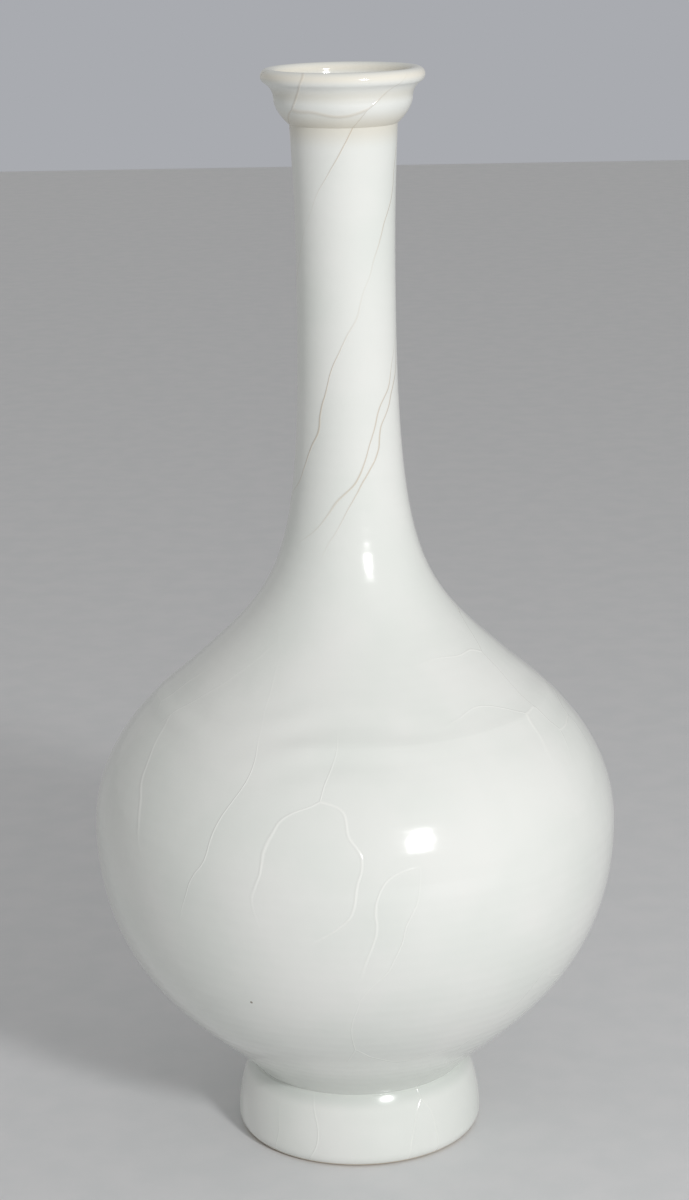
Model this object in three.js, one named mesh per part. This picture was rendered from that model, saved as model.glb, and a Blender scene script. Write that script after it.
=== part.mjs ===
import * as THREE from "three";

// Long-necked bottle vase of glazed porcelain: thrown sections luted together with slip.
// Millimetres, Z up, origin at the middle of the resting plane of the foot.

const height = 360;
const bellyRadius = 87.7;
const bellyZ = 110.5;
const creaseRadius = 36.5;
const creaseZ = 24.4;
const shoulderRadius = 68.7;
const shoulderZ = 151.5;
const waistRadius = 16.2;
const waistZ = 296;
const nipRadius = 17.2;
const mouthDepth = 17.5;
const bulgeRadius = 22.1;
const lipRadius = 26.1;
const lipRoll = 2.4;
const footRadius = 41.7;
const footWidestZ = 4;
const restOuterRadius = 39;
const restInnerRadius = 33.6;
const footWall = 5.4;
const recessDepth = 16;
const baseWall = 6.5;
const neckWall = 4.2;
const slipThickness = 0.8;
const scarf = 2;
const beadHeight = 0.7;
const shoulderSwell = 0.5;
const swellReach = 4;
const jointRadius = 64.9;
const footJointInset = 5.6;
const segments = 56;

const undersideAngle = THREE.MathUtils.degToRad(49.5);
const shoulderAngle = THREE.MathUtils.degToRad(43);
const nipZ = height - mouthDepth;

function vec(r, z) {
  return new THREE.Vector2(r, z);
}

function bezier(start, first, second, end) {
  return new THREE.CubicBezierCurve(vec(...start), vec(...first), vec(...second), vec(...end));
}

// The outer line of the thrown body, from the middle of its underside to the nip below the mouth.
function makeBodyLine() {
  const line = new THREE.CurvePath();
  const crease = [creaseRadius, creaseZ];
  const equator = [bellyRadius, bellyZ];
  const shoulder = [shoulderRadius, shoulderZ];
  const waist = [waistRadius, waistZ];
  const under = [Math.cos(undersideAngle), Math.sin(undersideAngle)];
  const slope = [Math.cos(shoulderAngle), Math.sin(shoulderAngle)];
  const rise = (creaseZ - recessDepth) * 0.42;
  const lowerReach = (bellyZ - creaseZ) * 0.27;
  const flareReach = (waistZ - shoulderZ) * 0.43;
  line.add(bezier(
    [0, recessDepth],
    [creaseRadius * 0.55, recessDepth],
    [creaseRadius - (rise * under[0]) / under[1], creaseZ - rise],
    crease,
  ));
  line.add(bezier(
    crease,
    [creaseRadius + lowerReach * under[0], creaseZ + lowerReach * under[1]],
    [bellyRadius, bellyZ - (bellyZ - creaseZ) * 0.6],
    equator,
  ));
  line.add(bezier(
    equator,
    [bellyRadius, bellyZ + (shoulderZ - bellyZ) * 0.55],
    [shoulderRadius + 5 * slope[0], shoulderZ - 5 * slope[1]],
    shoulder,
  ));
  line.add(bezier(
    shoulder,
    [shoulderRadius - flareReach * slope[0], shoulderZ + flareReach * slope[1]],
    [waistRadius, waistZ - (waistZ - shoulderZ) * 0.76],
    waist,
  ));
  line.add(bezier(
    waist,
    [waistRadius, waistZ + (nipZ - waistZ) * 0.4],
    [nipRadius - 0.5, nipZ - (nipZ - waistZ) * 0.35],
    [nipRadius, nipZ],
  ));
  return line;
}

const bodyLine = makeBodyLine();
bodyLine.arcLengthDivisions = 2000;
const lineLength = bodyLine.getLength();
const lengths = bodyLine.getCurveLengths();
const creaseAt = lengths[0];
const bellyAt = lengths[1];
const waistAt = lengths[3];

function lineAt(s) {
  const u = THREE.MathUtils.clamp(s / lineLength, 0, 1);
  const tangent = bodyLine.getTangentAt(u);
  return { point: bodyLine.getPointAt(u), normal: vec(tangent.y, -tangent.x) };
}

// Where the line passes a given radius on its way from the belly to the neck.
function findRadius(radius) {
  let low = bellyAt;
  let high = waistAt;
  for (let i = 0; i < 40; i += 1) {
    const middle = (low + high) / 2;
    if (lineAt(middle).point.x > radius) {
      low = middle;
    } else {
      high = middle;
    }
  }
  return (low + high) / 2;
}

const shoulderAt = findRadius(jointRadius);

function outerAt(s) {
  const { point, normal } = lineAt(s);
  const swell = shoulderSwell * Math.exp(-(((s - shoulderAt) / swellReach) ** 2));
  return point.addScaledVector(normal, swell);
}

function wallAt(z) {
  const share = THREE.MathUtils.clamp(1 - z / nipZ, 0, 1);
  return neckWall + (baseWall - neckWall) * share ** 3;
}

function innerAt(s) {
  const { point, normal } = lineAt(s);
  const inner = point.clone().addScaledVector(normal, -wallAt(point.y));
  return s <= 0 ? vec(0, inner.y) : inner;
}

function stations(from, to, count) {
  return Array.from({ length: count + 1 }, (_, i) => from + ((to - from) * i) / count);
}

function run(along, marks) {
  return marks.flatMap(([from, to, count]) => stations(from, to, count).map(along))
    .filter((point, i, all) => i === 0 || point.distanceTo(all[i - 1]) > 0.001);
}

function closed(points) {
  return [...points, points[0].clone()];
}

function revolve(name, points, material) {
  const geometry = new THREE.LatheGeometry(points, segments);
  geometry.rotateX(Math.PI / 2);
  const mesh = new THREE.Mesh(geometry, new THREE.MeshStandardMaterial(material));
  mesh.name = name;
  return mesh;
}

function glaze(color, roughness) {
  return { color, roughness, metalness: 0 };
}

// A joint runs from s on the outside to a little further down inside, a scarf that slip fills.
function joint(s) {
  return {
    lowOuter: s - slipThickness / 2,
    highOuter: s + slipThickness / 2,
    lowInner: s - scarf - slipThickness / 2,
    highInner: s - scarf + slipThickness / 2,
  };
}

const bellyJoint = joint(bellyAt);
const shoulderJoint = joint(shoulderAt);
const mouthJoint = joint(lineLength - slipThickness / 2);

// The underside of the body over the foot ring, and the same line below the layer of slip.
const footInnerAt = creaseAt - footJointInset;

function underAt(s) {
  return lineAt(s).point;
}

function belowSlipAt(s) {
  const { point, normal } = lineAt(s);
  return point.addScaledVector(normal, slipThickness);
}

function makeFootRing() {
  const top = run(belowSlipAt, [[creaseAt, footInnerAt, 3]]);
  const outerTop = top[0];
  const innerTop = top[top.length - 1];
  const splay = bezier(
    [footRadius, footWidestZ],
    [footRadius, footWidestZ + (creaseZ - footWidestZ) * 0.4],
    [outerTop.x + 2.3, outerTop.y - 3.6],
    [outerTop.x, outerTop.y],
  );
  const heel = bezier(
    [restOuterRadius, 0],
    [restOuterRadius + 1.3, 0],
    [footRadius, footWidestZ * 0.45],
    [footRadius, footWidestZ],
  );
  const innerHeel = bezier(
    [footRadius - footWall - 2.6, footWidestZ * 0.5],
    [footRadius - footWall - 2.5, 0.6],
    [restInnerRadius - 0.5, 0],
    [restInnerRadius, 0],
  );
  const points = [
    ...heel.getPoints(4),
    ...splay.getPoints(7).slice(1),
    ...top.slice(1),
    innerTop.clone().lerp(vec(footRadius - footWall - 2.6, footWidestZ * 0.5), 0.5),
    ...innerHeel.getPoints(3),
  ];
  return revolve("foot_ring", closed(points), glaze(0xe6e9e4, 0.16));
}

function makeFootSlip() {
  const above = run(underAt, [[footInnerAt, creaseAt, 3]]);
  const below = run(belowSlipAt, [[creaseAt, footInnerAt, 3]]);
  const cove = above[3].clone().lerp(below[0], 0.5).add(vec(-0.2, 0.1));
  const bead = above[0].clone().lerp(below[3], 0.5).add(vec(-beadHeight, -0.1));
  const points = [...below.slice().reverse(), cove, ...above.slice().reverse(), bead];
  return revolve("foot_luting_seam", closed(points), glaze(0xdfe3dd, 0.18));
}

function makeLowerBody() {
  const { lowOuter, lowInner } = bellyJoint;
  const outer = run(outerAt, [[0, footInnerAt, 4], [footInnerAt, creaseAt, 3], [creaseAt, lowOuter, 11]]);
  const inner = run(innerAt, [[lowInner, creaseAt, 8], [creaseAt, 0, 4]]);
  outer[0].x = 0;
  return revolve("lower_body", [...outer, ...inner], glaze(0xe7eae6, 0.14));
}

function makeUpperBody() {
  const { highOuter, highInner } = bellyJoint;
  const { lowOuter, lowInner } = shoulderJoint;
  const ridge = lowOuter - swellReach * 2;
  const outer = run(outerAt, [[highOuter, ridge, 6], [ridge, lowOuter, 4]]);
  const inner = run(innerAt, [[lowInner, highInner, 7]]);
  return revolve("upper_body", closed([...outer, ...inner]), glaze(0xe8ebe7, 0.14));
}

function makeNeck() {
  const { highOuter, highInner } = shoulderJoint;
  const { lowOuter, lowInner } = mouthJoint;
  const ridge = highOuter + swellReach * 2;
  const outer = run(outerAt, [[highOuter, ridge, 4], [ridge, waistAt, 12], [waistAt, lowOuter, 3]]);
  const inner = run(innerAt, [[lowInner, waistAt, 2], [waistAt, highInner, 12]]);
  return revolve("neck", closed([...outer, ...inner]), glaze(0xe9ebe6, 0.14));
}

function makeMouthRing() {
  const start = outerAt(mouthJoint.highOuter);
  const innerStart = innerAt(mouthJoint.highInner);
  const lipZ = height - lipRoll;
  const rollRadius = lipRadius - lipRoll;
  const bulgeZ = nipZ + mouthDepth * 0.46;
  const underLip = [rollRadius + lipRoll * Math.sin(Math.PI / 6), lipZ - lipRoll * Math.cos(Math.PI / 6)];
  const bulge = bezier(
    [start.x, start.y],
    [start.x + 1.9, start.y + 1.5],
    [bulgeRadius, bulgeZ - 2.9],
    [bulgeRadius, bulgeZ],
  );
  const cove = bezier(
    [bulgeRadius, bulgeZ],
    [bulgeRadius, bulgeZ + 1.9],
    [underLip[0] - 1.9, underLip[1] - 1.1],
    underLip,
  );
  const roll = stations(-Math.PI / 3, Math.PI, 9)
    .map((angle) => vec(rollRadius + lipRoll * Math.cos(angle), lipZ + lipRoll * Math.sin(angle)));
  const dish = bezier(
    [rollRadius - lipRoll, lipZ],
    [rollRadius - lipRoll - 0.4, lipZ - 6.5],
    [innerStart.x, nipZ + mouthDepth * 0.3],
    [innerStart.x, innerStart.y],
  );
  const points = [
    ...bulge.getPoints(6),
    ...cove.getPoints(5).slice(1, -1),
    ...roll,
    ...dish.getPoints(7).slice(1),
  ];
  return revolve("mouth_ring", closed(points), glaze(0xe6e7e0, 0.14));
}

// The slip that holds two sections: its outside lies in the glaze line, its inside stands in a soft bead.
function makeSlip(name, at) {
  const outer = [outerAt(at.lowOuter), outerAt(at.highOuter)];
  const inner = [innerAt(at.highInner), innerAt(at.lowInner)];
  const along = inner[0].clone().sub(inner[1]).normalize();
  const inward = vec(-along.y, along.x).multiplyScalar(beadHeight);
  const bead = [0.25, 0.75].map((share) => inner[0].clone().lerp(inner[1], share).add(inward));
  return revolve(name, closed([...outer, inner[0], ...bead, inner[1]]), glaze(0xe2e5df, 0.16));
}

const vase = new THREE.Group();
vase.name = "bottle_vase";
vase.add(makeFootRing());
vase.add(makeFootSlip());
vase.add(makeLowerBody());
vase.add(makeSlip("belly_luting_seam", bellyJoint));
vase.add(makeUpperBody());
vase.add(makeSlip("shoulder_luting_seam", shoulderJoint));
vase.add(makeNeck());
vase.add(makeSlip("mouth_luting_seam", mouthJoint));
vase.add(makeMouthRing());

export default vase;
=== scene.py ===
import bmesh
import bpy
import numpy as np
from mathutils import Matrix, Vector


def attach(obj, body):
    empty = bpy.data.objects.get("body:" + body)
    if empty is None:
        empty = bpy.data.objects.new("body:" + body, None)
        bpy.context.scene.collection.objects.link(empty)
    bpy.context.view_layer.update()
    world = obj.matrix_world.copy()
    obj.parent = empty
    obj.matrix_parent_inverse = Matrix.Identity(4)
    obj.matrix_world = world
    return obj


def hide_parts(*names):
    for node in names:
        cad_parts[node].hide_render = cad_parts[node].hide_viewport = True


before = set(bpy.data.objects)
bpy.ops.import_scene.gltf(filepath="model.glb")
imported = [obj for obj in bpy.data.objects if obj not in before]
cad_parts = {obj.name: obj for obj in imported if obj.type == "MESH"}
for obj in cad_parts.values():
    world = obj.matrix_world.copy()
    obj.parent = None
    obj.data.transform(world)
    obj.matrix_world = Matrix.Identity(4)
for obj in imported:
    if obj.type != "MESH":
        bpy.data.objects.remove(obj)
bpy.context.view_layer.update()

mm = 0.001
around = 256  # points in each turn
curveSteps = 499  # straight steps in each curve of the body line
rowStep = 1.2  # mm between rows along a profile

# sizes in mm, as the CAD part has them
vase = {
    "height": 360, "belly": (87.7, 110.5), "crease": (36.5, 24.4), "shoulder": (68.7, 151.5), "waist": (16.2, 296),
    "nip": (17.2, 342.5), "recess": 16, "underAngle": 49.5, "shoulderAngle": 43, "baseWall": 6.5, "neckWall": 4.2,
    "slip": 0.8, "scarf": 2, "bead": 0.7, "swell": 0.5, "swellReach": 4, "jointRadius": 64.9,
}


def bezier(p0, p1, p2, p3, count=curveSteps + 1):
    # a cubic curve: the four points weighted by the Bernstein terms of t
    t = np.linspace(0, 1, count)[:, None]
    a, b, c, d = (np.array(p, float) for p in (p0, p1, p2, p3))
    return (1 - t) ** 3 * a + 3 * t * (1 - t) ** 2 * b + 3 * t * t * (1 - t) * c + t ** 3 * d


def bodyCurves(v):
    # middle of the underside -> crease -> belly -> shoulder -> waist of the neck -> nip under the mouth
    a, b = np.radians(v["underAngle"]), np.radians(v["shoulderAngle"])
    (cr, cz), (br, bz), (sr, sz) = v["crease"], v["belly"], v["shoulder"]
    (wr, wz), (nr, nz) = v["waist"], v["nip"]
    rise, lower, flare = (cz - v["recess"]) * 0.42, (bz - cz) * 0.27, (wz - sz) * 0.43
    return [
        bezier((0, v["recess"]), (cr * 0.55, v["recess"]), (cr - rise / np.tan(a), cz - rise), (cr, cz)),
        bezier((cr, cz), (cr + lower * np.cos(a), cz + lower * np.sin(a)), (br, bz - (bz - cz) * 0.6), (br, bz)),
        bezier((br, bz), (br, bz + (sz - bz) * 0.55), (sr + 5 * np.cos(b), sz - 5 * np.sin(b)), (sr, sz)),
        bezier((sr, sz), (sr - flare * np.cos(b), sz + flare * np.sin(b)), (wr, wz - (wz - sz) * 0.76), (wr, wz)),
        bezier((wr, wz), (wr, wz + (nz - wz) * 0.4), (nr - 0.5, nz - (nz - wz) * 0.35), (nr, nz)),
    ]


curves = bodyCurves(vase)
linePoints = np.concatenate([curves[0]] + [c[1:] for c in curves[1:]])
steps = np.linalg.norm(np.diff(linePoints, axis=0), axis=1)
lineS = np.concatenate([[0], np.cumsum(steps)])
marks = lineS[np.arange(1, 6) * curveSteps]
creaseAt, bellyAt, waistAt, endAt = marks[0], marks[1], marks[3], marks[4]
tangents = np.gradient(linePoints, lineS, axis=0)
upper = (lineS > bellyAt) & (lineS < waistAt)
shoulderAt = np.interp(-vase["jointRadius"], -linePoints[upper, 0], lineS[upper])


def lineAt(s):
    # point and outward normal at length s, read between the sampled points
    point = np.stack([np.interp(s, lineS, linePoints[:, i]) for i in (0, 1)], -1)
    tangent = np.stack([np.interp(s, lineS, tangents[:, i]) for i in (0, 1)], -1)
    tangent /= np.linalg.norm(tangent, axis=-1, keepdims=True)
    return point, np.stack([tangent[..., 1], -tangent[..., 0]], -1)


def outerAt(s):
    # the line plus a bell-shaped swelling over the shoulder joint
    point, normal = lineAt(s)
    return point + normal * (vase["swell"] * np.exp(-(((s - shoulderAt) / vase["swellReach"]) ** 2)))[:, None]


def innerAt(s):
    # the line moved inwards by the wall, which thins with the cube of the height that is left
    point, normal = lineAt(s)
    share = np.clip(1 - point[:, 1] / vase["nip"][1], 0, 1)
    inner = point - normal * (vase["neckWall"] + (vase["baseWall"] - vase["neckWall"]) * share ** 3)[:, None]
    inner[:, 0] = np.where(s <= 0, 0, inner[:, 0])
    return inner


def rows(start, end):
    # evenly spaced stations along the line
    return np.linspace(start, end, max(3, int(abs(end - start) / rowStep)))


def relief(s, angle):
    # hand-thrown surface in mm: fine throwing lines, a slow wobble, and dents crossing the shoulder joint
    s, angle = np.meshgrid(s, angle, indexing="ij")
    fade = np.clip((s - creaseAt) / 15, 0, 1) * np.clip((endAt - s) / 20, 0, 1)
    throwing = 0.02 * np.sin(2 * np.pi * s / 4.6 + angle)
    wobble = 0.07 * np.sin(2 * angle + s / 31) + 0.05 * np.sin(3 * angle - s / 23)
    near = np.exp(-(((s - shoulderAt) / 15) ** 2))
    dents = 0.22 * near * np.sin(s / 2.3 + 2.4 * np.sin(5 * angle)) * (0.55 + 0.45 * np.sin(3 * angle + 0.8))
    return fade * (throwing + wobble + dents - 0.16)


def revolve(name, profile, reliefAt=None, closed=True):
    # each profile point (r, z) is carried round Z: x = r cos a, y = r sin a
    profile = np.array(profile, float)
    keep = np.concatenate([[True], np.linalg.norm(np.diff(profile, axis=0), axis=1) > 1e-4])
    reliefAt = np.full(len(profile), np.nan) if reliefAt is None else np.array(reliefAt, float)
    profile, reliefAt = profile[keep], reliefAt[keep]
    angle = np.arange(around) * 2 * np.pi / around
    count = len(profile)
    push = np.nan_to_num(relief(reliefAt, angle))
    normal = lineAt(np.nan_to_num(reliefAt))[1]
    r = profile[:, :1] + push * normal[:, :1]
    z = profile[:, 1:] + push * normal[:, 1:]
    verts = np.stack([r * np.cos(angle), r * np.sin(angle), z + 0 * angle], -1).reshape(-1, 3) * mm
    i, j = np.meshgrid(np.arange(count if closed else count - 1), np.arange(around), indexing="ij")
    i, j, up, on = i.ravel(), j.ravel(), (i.ravel() + 1) % count, (j.ravel() + 1) % around
    faces = np.stack([i * around + j, i * around + on, up * around + on, up * around + j], -1)
    mesh = bpy.data.meshes.new(name)
    mesh.from_pydata(verts.tolist(), [], faces.tolist())
    bm = bmesh.new()
    bm.from_mesh(mesh)
    bmesh.ops.remove_doubles(bm, verts=bm.verts, dist=1e-7)
    bm.to_mesh(mesh)
    bm.free()
    mesh.shade_smooth()
    mesh.set_sharp_from_angle(angle=np.radians(38))
    piece = bpy.data.objects.new("glazed_" + name, mesh)
    bpy.context.scene.collection.objects.link(piece)
    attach(piece, "root")
    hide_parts(name)
    return piece


def addNode(tree, kind, settings=None, **links):
    # settings starting with a small letter are the node's own, the rest are input values or links by socket name
    node = tree.nodes.new("ShaderNode" + kind)
    for key, value in (settings or {}).items():
        if isinstance(key, int) or key[0].isupper():
            node.inputs[key].default_value = value
        else:
            setattr(node, key, value)
    for key, source in links.items():
        tree.links.new(source, node.inputs[int(key[1:]) if key[0] == "i" and key[1:].isdigit() else key])
    return node


def hexColour(text):
    # sRGB to linear: a straight piece near black, else a power of 2.4
    c = np.array([int(text[k:k + 2], 16) for k in (1, 3, 5)]) / 255
    return (*np.where(c <= 0.04045, c / 12.92, ((c + 0.055) / 1.055) ** 2.4).tolist(), 1)


def mixColour(tree, amount, first, second):
    # amount 0 gives the first colour, 1 the second; each may be a value or a socket
    node = addNode(tree, "Mix", {"data_type": "RGBA"})
    for socket, value in ((node.inputs[6], first), (node.inputs[7], second), (node.inputs[0], amount)):
        if isinstance(value, bpy.types.NodeSocket):
            tree.links.new(value, socket)
        else:
            socket.default_value = value
    return node.outputs[2]


def band(tree, value, low, high, toLow=0.0, toHigh=1.0):
    # a soft step from toLow to toHigh as the value goes from low to high
    settings = {"From Min": low, "From Max": high, "To Min": toLow, "To Max": toHigh, "interpolation_type": "SMOOTHSTEP"}
    return addNode(tree, "MapRange", settings, Value=value).outputs[0]


def glazedPorcelain(name, look):
    # clear lime glaze over white porcelain, fired glossy: cool milky white, warm where it runs thin,
    # with long crackle lines and a faint orange-peel swell that bends the highlights
    material = bpy.data.materials.new(name)
    material.use_nodes = True
    tree = material.node_tree
    shader = tree.nodes["Principled BSDF"]
    place = addNode(tree, "TexCoord").outputs["Object"]
    z = addNode(tree, "SeparateXYZ", None, Vector=place).outputs["Z"]
    cloud = addNode(tree, "TexNoise", {"Scale": 28, "Detail": 3}, Vector=place).outputs["Fac"]  # patches of 35 mm
    colour = mixColour(tree, band(tree, cloud, 0.3, 0.7), hexColour(look["base"]), hexColour(look["cloud"]))
    for low, high, tint, most in look["paintedShadeAndGlazeBands"]:  # bands of height: painted shade under the belly, at the foot crease and in the grooves at the mouth; warm where the glaze thins at the rim
        middle = (low + high) / 2
        up = band(tree, z, low, middle)
        down = band(tree, z, middle, high, 1, 0)
        part = addNode(tree, "Math", {"operation": "MULTIPLY"}, i0=up, i1=down).outputs[0]
        part = addNode(tree, "Math", {"operation": "MULTIPLY", 1: most}, i0=part).outputs[0]
        colour = mixColour(tree, part, colour, hexColour(tint))
    # crackle: cell walls of stretched cells, wound round the axis
    above = addNode(tree, "Math", {"operation": "SUBTRACT", 1: 0.185}, i0=z).outputs[0]
    above = addNode(tree, "Math", {"operation": "MAXIMUM", 1: 0}, i0=above).outputs[0]
    above = addNode(tree, "Math", {"operation": "MULTIPLY", 1: look["neckTwist"]}, i0=above).outputs[0]
    wind = addNode(tree, "Math", {"operation": "MULTIPLY_ADD", 1: look["twist"]}, i0=z, i2=above).outputs[0]
    turned = addNode(tree, "VectorRotate", {"rotation_type": "Z_AXIS"}, Vector=place, Angle=wind).outputs[0]
    bend = addNode(tree, "TexNoise", {"Scale": 22, "Detail": 2}, Vector=place).outputs["Color"]
    bend = addNode(tree, "VectorMath", {"operation": "MULTIPLY_ADD", 1: (0.02,) * 3}, i0=bend, i2=turned).outputs[0]
    cells = addNode(tree, "Mapping", {"Scale": (1, 1, look["stretch"])}, Vector=bend).outputs[0]
    wall = addNode(tree, "TexVoronoi", {"feature": "DISTANCE_TO_EDGE", "Scale": look["cells"]}, Vector=cells)
    line = band(tree, wall.outputs["Distance"], 0, look["lineWidth"], 1, 0)
    some = addNode(tree, "TexNoise", {"Scale": 14, "Detail": 1}, Vector=place).outputs["Fac"]
    line = addNode(tree, "Math", {"operation": "MULTIPLY"}, i0=line, i1=band(tree, some, 0.46, 0.6)).outputs[0]
    faint = addNode(tree, "Math", {"operation": "MULTIPLY", 1: look["lineStrength"]}, i0=line).outputs[0]
    stain = mixColour(tree, band(tree, z, 0.17, 0.21), hexColour(look["line"]), hexColour(look["neckLine"]))
    colour = mixColour(tree, faint, colour, stain)
    # iron specks under the glaze, about half a millimetre
    dots = addNode(tree, "TexVoronoi", {"Scale": 26, "Randomness": 1}, Vector=place).outputs["Distance"]
    colour = mixColour(tree, band(tree, dots, 0.008, 0.016, 0.75, 0), colour, hexColour("#6b5a45"))
    rough = band(tree, cloud, 0.3, 0.7, look["rough"] - 0.02, look["rough"] + 0.03)
    if look.get("bareRim"):  # wiped and unglazed where it stands in the kiln
        bare = band(tree, z, 0.0003, 0.0014, 1, 0)
        colour = mixColour(tree, bare, colour, hexColour("#cdbda4"))
        dry = addNode(tree, "Math", {"operation": "MULTIPLY", 1: 0.6}, i0=bare).outputs[0]
        rough = addNode(tree, "Math", {"operation": "MAXIMUM"}, i0=rough, i1=dry).outputs[0]
    tree.links.new(colour, shader.inputs["Base Color"])
    tree.links.new(rough, shader.inputs["Roughness"])
    shader.inputs["IOR"].default_value = 1.5
    peel = addNode(tree, "TexNoise", {"Scale": 90, "Detail": 2}, Vector=place).outputs["Fac"]  # swell of 11 mm
    swell = addNode(tree, "Bump", {"Strength": 0.35, "Distance": 0.0004}, Height=peel)
    ridge = addNode(tree, "Bump", {"Strength": 0.5, "Distance": 0.0002}, Height=line, Normal=swell.outputs[0])
    tree.links.new(ridge.outputs[0], shader.inputs["Normal"])
    return material


bodyLook = {
    "base": "#ecede9", "cloud": "#e6e9e4", "line": "#f9f9f4", "neckLine": "#bfa988", "lineStrength": 0.5,
    "lineWidth": 0.008, "rough": 0.13, "twist": -4.0, "neckTwist": -26.0, "stretch": 0.2, "cells": 24,
    # the two height bands are painted shade: on the underside from 16 to 44 mm and in the groove under the mouth from
    # 335 to 350 mm
    "paintedShadeAndGlazeBands": [(0.016, 0.044, "#d5d9d3", 0.6), (0.335, 0.35, "#d8d0bd", 0.5)],
}
mouthLook = {
    **bodyLook, "lineStrength": 0.25,
    # height bands of the mouth: painted shade in the groove under the bulge and in the cove under the lip; the top
    # band is the warm thin glaze on the lip
    "paintedShadeAndGlazeBands": [(0.335, 0.349, "#d4cab4", 0.6), (0.3495, 0.3555, "#d8d4c7", 0.5), (0.356, 0.3605, "#f1e9d8", 0.6)],
}
# the foot's height band from 19 to 28 mm is painted shade at the crease under the belly
footLook = {**bodyLook, "lineStrength": 0.3, "rough": 0.15, "paintedShadeAndGlazeBands": [(0.019, 0.028, "#cbd1cb", 0.6)], "bareRim": True}
bodyGlaze = glazedPorcelain("glazed porcelain body", bodyLook)
mouthGlaze = glazedPorcelain("glazed porcelain mouth", mouthLook)
footGlaze = glazedPorcelain("glazed porcelain foot", footLook)
print("materials made")


def joint(s):
    # slip fills a scarf from s outside to a little further down inside
    half, drop = vase["slip"] / 2, vase["scarf"]
    return {"lowOuter": s - half, "highOuter": s + half, "lowInner": s - drop - half, "highInner": s - drop + half}


bellyJoint, shoulderJoint = joint(bellyAt), joint(shoulderAt)
mouthJoint = joint(endAt - vase["slip"] / 2)
footInnerAt = creaseAt - 5.6


def section(name, material, start, end, innerStart, innerEnd, closed=True):
    # up the outside, over the scarf and back down the inside
    out, back = rows(start, end), rows(innerEnd, innerStart)
    profile = np.concatenate([outerAt(out), innerAt(back)])
    piece = revolve(name, profile, np.concatenate([out, np.full(len(back), np.nan)]), closed)
    piece.data.materials.append(material)
    return piece


def slipSeam(name, at, material):
    outer = np.array([at["lowOuter"], at["highOuter"]])
    inner = innerAt(np.array([at["highInner"], at["lowInner"]]))
    along = (inner[0] - inner[1]) / np.linalg.norm(inner[0] - inner[1])
    turn = np.linspace(0, np.pi, 9)[1:-1, None]  # half-round bead of squeezed slip
    middle, reach = inner.mean(0), np.linalg.norm(inner[0] - inner[1]) / 2
    bead = middle + along * reach * np.cos(turn) + np.array([-along[1], along[0]]) * vase["bead"] * np.sin(turn)
    profile = np.concatenate([outerAt(outer), inner[:1], bead, inner[1:]])
    piece = revolve(name, profile, np.concatenate([outer, np.full(len(profile) - 2, np.nan)]))
    piece.data.materials.append(material)
    return piece


section("lower_body", bodyGlaze, 0, bellyJoint["lowOuter"], 0, bellyJoint["lowInner"], closed=False)
section("upper_body", bodyGlaze, bellyJoint["highOuter"], shoulderJoint["lowOuter"],
        bellyJoint["highInner"], shoulderJoint["lowInner"])
section("neck", bodyGlaze, shoulderJoint["highOuter"], mouthJoint["lowOuter"],
        shoulderJoint["highInner"], mouthJoint["lowInner"])
slipSeam("belly_luting_seam", bellyJoint, bodyGlaze)
slipSeam("shoulder_luting_seam", shoulderJoint, bodyGlaze)
slipSeam("mouth_luting_seam", mouthJoint, bodyGlaze)
print("body and neck made")

foot = {"radius": 41.7, "widestZ": 4, "restOuter": 39, "restInner": 33.6, "wall": 5.4}


def footPieces():
    # the ring under the body: rounded heel, convex splay, top face that follows the body with slip between
    s = np.linspace(creaseAt, footInnerAt, 6)
    point, normal = lineAt(s)
    under, top = point, point + normal * vase["slip"]
    f, z = foot["radius"], foot["widestZ"]
    wall = (f - foot["wall"] - 2.6, z * 0.5)
    heel = bezier((foot["restOuter"], 0), (foot["restOuter"] + 1.3, 0), (f, z * 0.45), (f, z), 12)
    splay = bezier((f, z), (f, z + (vase["crease"][1] - z) * 0.4), top[0] + (2.3, -3.6), top[0], 28)
    inner = bezier(wall, (wall[0] + 0.1, 0.6), (foot["restInner"] - 0.5, 0), (foot["restInner"], 0), 8)
    side = np.linspace(top[-1], wall, 12)
    ring = revolve("foot_ring", np.concatenate([heel, splay, top, side, inner]))
    cove = [(under[0] + top[0]) / 2 + (-0.2, 0.1)]
    bead = [(under[-1] + top[-1]) / 2 + (-vase["bead"], -0.1)]
    seam = revolve("foot_luting_seam", np.concatenate([top[::-1], cove, under, bead]))
    for piece in (ring, seam):
        piece.data.materials.append(footGlaze)


mouth = {"bulge": 22.1, "lip": 26.1, "roll": 2.4}


def mouthPiece():
    # bulge, shallow cove, rolled lip as an arc of a circle, and the dished inside
    (startR, startZ), = outerAt(np.array([mouthJoint["highOuter"]]))
    (innerR, innerZ), = innerAt(np.array([mouthJoint["highInner"]]))
    depth = vase["height"] - vase["nip"][1]
    lipZ, rollR, b = vase["height"] - mouth["roll"], mouth["lip"] - mouth["roll"], mouth["bulge"]
    bulgeZ = vase["nip"][1] + depth * 0.46
    under = (rollR + mouth["roll"] * 0.5, lipZ - mouth["roll"] * np.cos(np.pi / 6))
    turn = np.linspace(-np.pi / 3, np.pi, 40)
    roll = np.stack([rollR + mouth["roll"] * np.cos(turn), lipZ + mouth["roll"] * np.sin(turn)], -1)
    profile = np.concatenate([
        bezier((startR, startZ), (startR + 1.9, startZ + 1.5), (b, bulgeZ - 2.9), (b, bulgeZ), 24),
        bezier((b, bulgeZ), (b, bulgeZ + 1.9), (under[0] - 1.9, under[1] - 1.1), under, 16),
        roll,
        bezier(roll[-1], roll[-1] - (0.4, 6.5), (innerR, vase["nip"][1] + depth * 0.3), (innerR, innerZ), 24),
    ])
    revolve("mouth_ring", profile).data.materials.append(mouthGlaze)


footPieces()
mouthPiece()
print("foot and mouth made")


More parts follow.
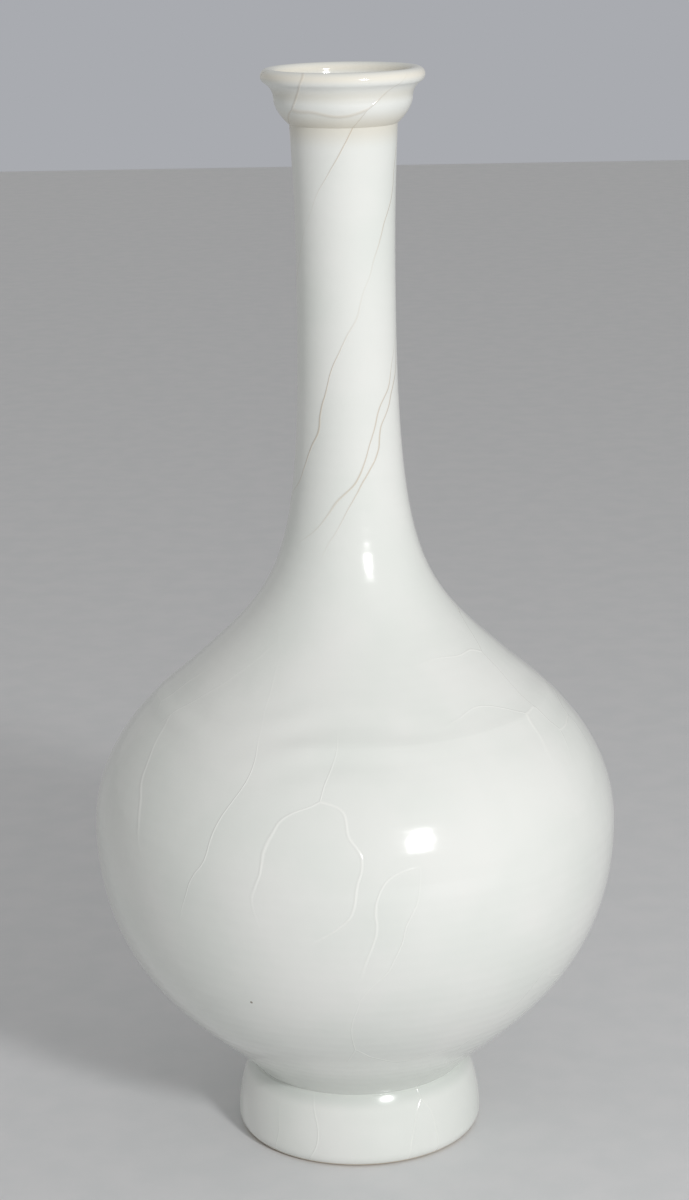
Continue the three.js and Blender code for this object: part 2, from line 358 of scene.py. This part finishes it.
def plainMaterial(name, colour, rough):
    # matt painted board, brushed out flat
    material = bpy.data.materials.new(name)
    material.use_nodes = True
    tree = material.node_tree
    shader = tree.nodes["Principled BSDF"]
    place = addNode(tree, "TexCoord").outputs["Object"]
    grain = addNode(tree, "TexNoise", {"Scale": 60, "Detail": 4}, Vector=place).outputs["Fac"]
    shade = mixColour(tree, band(tree, grain, 0.3, 0.7), hexColour(colour[0]), hexColour(colour[1]))
    tree.links.new(shade, shader.inputs["Base Color"])
    shader.inputs["Roughness"].default_value = rough
    return material


studio = {
    "floor": ("#dededf", "#dadbdc"), "camera": (0, -0.8772, 0.4253), "lens": 82.23, "down": 15.26, "yaw": 0.147,
    "roll": -0.988, "key": (0.55, -1.0, 0.62), "keySize": 0.16, "keyPower": 7.6, "world": 0.45,
    "back": "#a9abb0",
}


def aim(obj, position, target):
    # stand at position and look along minus Z at the target
    obj.matrix_world = Matrix.Translation(position) @ (
        (Vector(target) - Vector(position)).to_track_quat("-Z", "Y").to_matrix().to_4x4())


def makeStudio():
    scene = bpy.context.scene
    mesh = bpy.data.meshes.new("floor")
    mesh.from_pydata([(-3, -3, 0), (3, -3, 0), (3, 3, 0), (-3, 3, 0)], [], [(0, 1, 2, 3)])
    floor = bpy.data.objects.new("floor", mesh)
    scene.collection.objects.link(floor)
    mesh.materials.append(plainMaterial("matt painted board", studio["floor"], 0.6))
    light = bpy.data.lights.new("key", "AREA")
    light.size = studio["keySize"]
    light.energy = studio["keyPower"]
    key = bpy.data.objects.new("key", light)
    scene.collection.objects.link(key)
    aim(key, studio["key"], (0, 0, 0.15))
    world = bpy.data.worlds.new("studio")
    scene.world = world
    world.use_nodes = True
    tree = world.node_tree
    backdrop = tree.nodes["Background"]
    ray = addNode(tree, "LightPath").outputs["Is Camera Ray"]
    level = band(tree, ray, 0, 1, studio["world"], 1)
    tree.links.new(mixColour(tree, ray, (1, 1, 1, 1), hexColour(studio["back"])), backdrop.inputs["Color"])
    tree.links.new(level, backdrop.inputs["Strength"])
    camera = bpy.data.cameras.new("camera")
    camera.sensor_fit = "VERTICAL"
    camera.sensor_height = 36
    camera.lens = studio["lens"]
    eye = bpy.data.objects.new("camera", camera)
    scene.collection.objects.link(eye)
    eye.matrix_world = (Matrix.Translation(studio["camera"]) @ Matrix.Rotation(np.radians(studio["yaw"]), 4, "Z")
                        @ Matrix.Rotation(np.radians(90 - studio["down"]), 4, "X")
                        @ Matrix.Rotation(np.radians(studio["roll"]), 4, "Z"))
    scene.camera = eye
    scene.view_settings.view_transform = "Standard"


makeStudio()
print("studio made")
